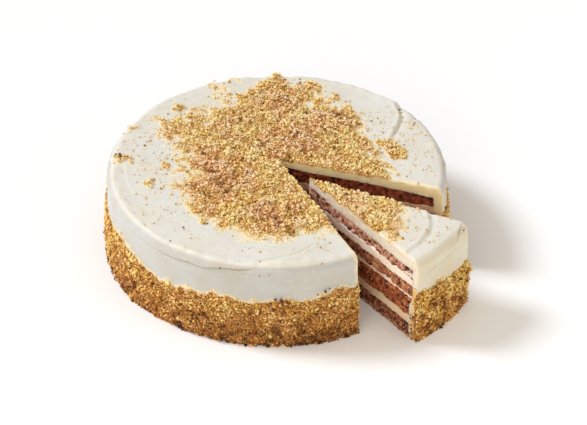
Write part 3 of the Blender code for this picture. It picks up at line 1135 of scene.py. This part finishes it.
def frosting_finish(name, side_shading_pale, side_shading_deep, cut_light, cut_smear):
    look = Finish(name, 0.46, Subsurface_Weight=0.6, Subsurface_Scale=0.005, Specular_IOR_Level=0.3)
    look.set(look.shader, Subsurface_Radius=(1.0, 0.75, 0.5))
    top = look.ramp(look.noise(30 * MM, 2.0), *zip((0.35, 0.65), TOP_WHITES))
    # The side's whites are painted shade and light: darker than the top on the cake, and lighter than the
    # cake's on the slice.
    side = look.ramp(look.noise(24 * MM, 2.0), (0.35, side_shading_pale), (0.65, side_shading_deep))
    white_with_side_shading = look.mix(look.mark("side"), top, side)
    # The skin under the loose crumbs: crumb colour, darker as painted shade in the gaps between them. The
    # side's row is darker still.
    skins = [look.ramp(look.lumps(1.0 * MM), *zip((0.0, 0.45, 1.0), tones)) for tones in SKIN_TONES_WITH_GAP_SHADE]
    skin_with_gap_shade = look.mix(look.mark("side"), *skins)
    broken = look.scaled(look.noise(1.6 * MM, 2.0), 0.5, look.mark("cover"))
    broken = look.scaled(broken, 1.0, -0.25)
    dusted = look.mix(look.ramp(broken, (0.02, 0.0), (0.40, 0.85)), white_with_side_shading, DUSTED)
    covered = look.ramp(broken, (0.42, 0.0), (0.80, 1.0))
    colour = look.mix(covered, dusted, skin_with_gap_shade)
    smears = look.ramp(look.noise(1.7 * MM, 4.0), (0.56, 0.0), (0.74, 0.75))
    # On the cake the cut's cream is painted lighter and yellower than on the slice: painted light on its
    # shaded rear cut.
    colour = look.mix(look.mark("cut"), colour, look.mix(smears, cut_light, cut_smear))
    roughness = look.ramp(look.noise(9 * MM, 2.0), (0.3, 0.48), (0.7, 0.62))
    grainy = look.scaled(look.mark("cut"), 4.0, look.scaled(covered, 5.0, 1.0))
    bump = look.scaled(look.noise(0.9 * MM, 3.0), grainy, 0.0)
    return look.finish(colour, bump, 0.06 * MM, roughness)


def cream_finish(name, light, smear):
    look = Finish(name, 0.5, Subsurface_Weight=0.15, Subsurface_Scale=0.002)
    smears = look.ramp(look.noise(2.2 * MM, 4.0), (0.64, 0.0), (0.80, 0.6))
    colour = look.mix(smears, light, smear)
    return look.finish(colour, look.noise(1.0 * MM, 3.0), 0.10 * MM)


def sponge_finish(name, dark, middle, pale, fleck):
    look = Finish(name, 0.82)
    grain = look.scaled(look.noise(3.6 * MM, 5.0), 2.1, -0.70)
    grain = look.scaled(look.lumps(1.5 * MM), 0.30, grain)
    # Painted shade: the sponge is darker in its holes and tears.
    grain = look.scaled(look.mark("pit"), -0.42, grain)
    colour = look.ramp(grain, (0.10, dark), (0.50, middle), (0.90, pale))
    flecks = look.ramp(look.noise(3.2 * MM, 1.0, stretch=(1.0, 1.0, 2.0)), (0.64, 0.0), (0.70, 0.9))
    colour = look.mix(flecks, colour, fleck)
    return look.finish(colour, look.noise(0.8 * MM, 4.0), 0.25 * MM)


CRUMB_TONES = (0.05, 0.32, 0.62, 1.0)  # how light the four colours of each crumb hue are


def crumb_finish(name, *hues):
    """The look of loose crumbs, from two rows of colours: golden crumbs and brown ones."""
    look = Finish(name, 0.72)
    grain = look.scaled(look.noise(0.7 * MM, 2.0), 0.16, look.mark("tone"))
    golden, brown = (look.ramp(grain, *zip(CRUMB_TONES, colours)) for colours in hues)
    colour = look.mix(look.mark("hue"), golden, brown)
    return look.finish(colour, look.noise(0.4 * MM, 2.0), 0.08 * MM)


# The side's pale and deep white, painted light and shade: the cake's side is painted darker than the top, and
# the slice's side lighter than the cake's. Then a cut's cream and the sponge smeared over it
FROSTINGS = {
    # The cake's cut cream and smear are painted light, lighter and yellower than the slice's.
    "cake_frosting": ((202, 202, 199), (199, 195, 185), (255, 233, 188), (248, 206, 142)),
    "slice_frosting": ((227, 221, 204), (222, 211, 186), (234, 221, 199), (214, 176, 136)),
}

# Dark, middle and pale sponge, and its carrot
SPONGES = {
    "slice_sponge_1": ((48, 16, 6), (142, 76, 48), (208, 146, 110), (170, 78, 32)),
    "slice_sponge_2": ((58, 14, 1), (164, 78, 34), (214, 142, 84), (208, 94, 20)),
    "slice_sponge_3": ((60, 22, 6), (166, 98, 62), (218, 164, 124), (190, 92, 36)),
    "slice_sponge_4": ((74, 32, 16), (196, 134, 104), (244, 206, 180), (200, 112, 66)),
}
# The cake's sponges are a darker copy of the slice's: painted shade on its cut faces.
for number in range(1, 5):
    SPONGES[f"cake_sponge_{number}"] = ((48, 12, 3), (142, 60, 30), (178, 92, 54), (176, 74, 24))

# Cream, and the sponge smeared over it
CREAMS = {
    "slice_filling_1": ((238, 212, 178), (182, 124, 86)),
    "slice_filling_2": ((242, 216, 188), (188, 132, 98)),
    "slice_filling_3": ((250, 230, 208), (200, 146, 112)),
}
# The cake's fillings are a darker, browner copy of the slice's: painted shade, with a painted warm reflection
# from the sponge.
for number in range(1, 4):
    CREAMS[f"cake_filling_{number}"] = ((222, 186, 148), (140, 84, 54))

# Golden crumbs and brown ones, from dark to light. Bits of sponge have one hue.
CRUMB_HUES = {
    "top_crumbs": (
        ((92, 50, 6), (220, 168, 62), (255, 220, 128), (255, 234, 168)),
        ((84, 42, 16), (204, 140, 88), (255, 206, 150), (255, 228, 188)),
    ),
    "side_crumbs": (
        ((66, 32, 2), (194, 128, 28), (252, 202, 94), (255, 230, 146)),
        ((54, 22, 2), (156, 86, 26), (228, 160, 80), (255, 210, 138)),
    ),
    "slice_sponge_crumbs": (((62, 26, 8), (150, 92, 58), (206, 150, 106), (236, 196, 156)),) * 2,
    # The cake's bits of sponge are darker than the slice's, painted shade like its sponges.
    "cake_sponge_crumbs": (((40, 12, 4), (96, 44, 22), (150, 86, 52), (190, 130, 88)),) * 2,
}

materials = {}
for finish, looks in (
    (frosting_finish, FROSTINGS),
    (sponge_finish, SPONGES),
    (cream_finish, CREAMS),
    (crumb_finish, CRUMB_HUES),
):
    for name, colours in looks.items():
        materials[name] = finish(name, *linear(colours))


# ---- pieces


def keep(piece, slot, *nodes):
    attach(piece, "root")
    if nodes:
        face_outwards(piece)
        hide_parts(*nodes)


def build_group(group, coat, step, columns):
    for number, name in enumerate(LAYERS):
        keep(layer(group, number, step, columns), name.split("_")[0], f"{group.name}_{name}")
    keep(frosting(group, **coat), "frosting", f"{group.name}_frosting")


# How finely each coat is modelled: points along a row, and rows from the apex to the foot
CAKE_COAT = dict(columns=480, top_rows=84, top_crowding=0.7, shoulder_rows=14, side_rows=54)
CAKE_COAT |= dict(inner_columns=17, cut_columns=9)
SLICE_COAT = dict(columns=90, top_rows=120, top_crowding=1, shoulder_rows=16, side_rows=66)
SLICE_COAT |= dict(inner_columns=5, cut_columns=12)

cake = Group("cake", AXIS)
cut_slice = Group("slice")
rng = np.random.default_rng(41)
build_group(cake, CAKE_COAT, 0.9 * MM, 17)
build_group(cut_slice, SLICE_COAT, 0.65 * MM, 4)
# Places tried for crumbs on the top and on the side, and the most crumbs there, in thousands
CRUMB_COUNTS = ((cake, (21.0, 8.8), (17.5, 9.0)), (cut_slice, (2.5, 1.5), (2.2, 1.5)))
for kind, more in ((CRUMBS, 1000), (GRAINS, 1800)):
    for group, *places in CRUMB_COUNTS:
        for scatter, counts in zip((top_crumbs, side_crumbs), places):
            keep(scatter(group, kind, *(round(count * more) for count in counts), rng), "crumb")
keep(sponge_crumbs(cake, (500, 500), rng), "crumb")
keep(sponge_crumbs(cut_slice, (900, 500), rng), "crumb")


# ---- studio


def aim(obj, place, target):
    obj.location = place
    obj.rotation_euler = (Vector(target) - Vector(place)).to_track_quat("-Z", "Y").to_euler()
    bpy.context.scene.collection.objects.link(obj)


# Name, kind, place, power, colour, and width or angle across of each light
LIGHTS = (
    ("key", "SUN", (-0.95, 0.30, 0.93), 2.05, (0.94, 0.985, 1.09), radians(18)),
    ("front_fill", "AREA", (-0.45, -1.2, 0.70), 6.2, (1.0, 0.90, 0.74), 1.0),
    ("right_fill", "AREA", (1.35, -0.35, 0.50), 3.6, (1.0, 0.90, 0.74), 1.0),
)


def studio():
    corners = [(-3, -3, 0), (3, -3, 0), (3, 3, 0), (-3, 3, 0)]
    look = Finish("studio_floor", 0.7, Base_Color=(0.94, 0.94, 0.94, 1.0))
    look.set(look.shader, Emission_Color=(1.0, 1.0, 1.0, 1.0), Emission_Strength=0.07)
    face = np.arange(4)[None]
    mesh_object("floor", np.array(corners, float), (face,), {}, look.material)

    world = bpy.data.worlds.new("studio_sky")
    world.use_nodes = True
    sky = world.node_tree.nodes["Background"]
    sky.inputs["Color"].default_value = (1.0, 0.965, 0.89, 1.0)
    sky.inputs["Strength"].default_value = 0.48
    bpy.context.scene.world = world

    for name, kind, place, power, colour, across in LIGHTS:
        light = bpy.data.lights.new(name, kind)
        light.energy = power
        light.color = colour
        setattr(light, "angle" if kind == "SUN" else "size", across)
        aim(bpy.data.objects.new(name, light), place, (0, 0, 0) if kind == "SUN" else (0.05, 0, 0.03))

    camera = bpy.data.cameras.new("camera")
    camera.sensor_width = 36
    camera.lens = CAMERA_LENS
    holder = bpy.data.objects.new("camera", camera)
    target = Vector((*AXIS, 0)) + Vector(CAMERA_AIM) * RIM
    back = Vector((0, -cos(CAMERA_ELEVATION), sin(CAMERA_ELEVATION)))
    aim(holder, target + back * CAMERA_DISTANCE * RIM, target)
    bpy.context.scene.camera = holder
    bpy.context.scene.view_settings.view_transform = "Standard"


studio()
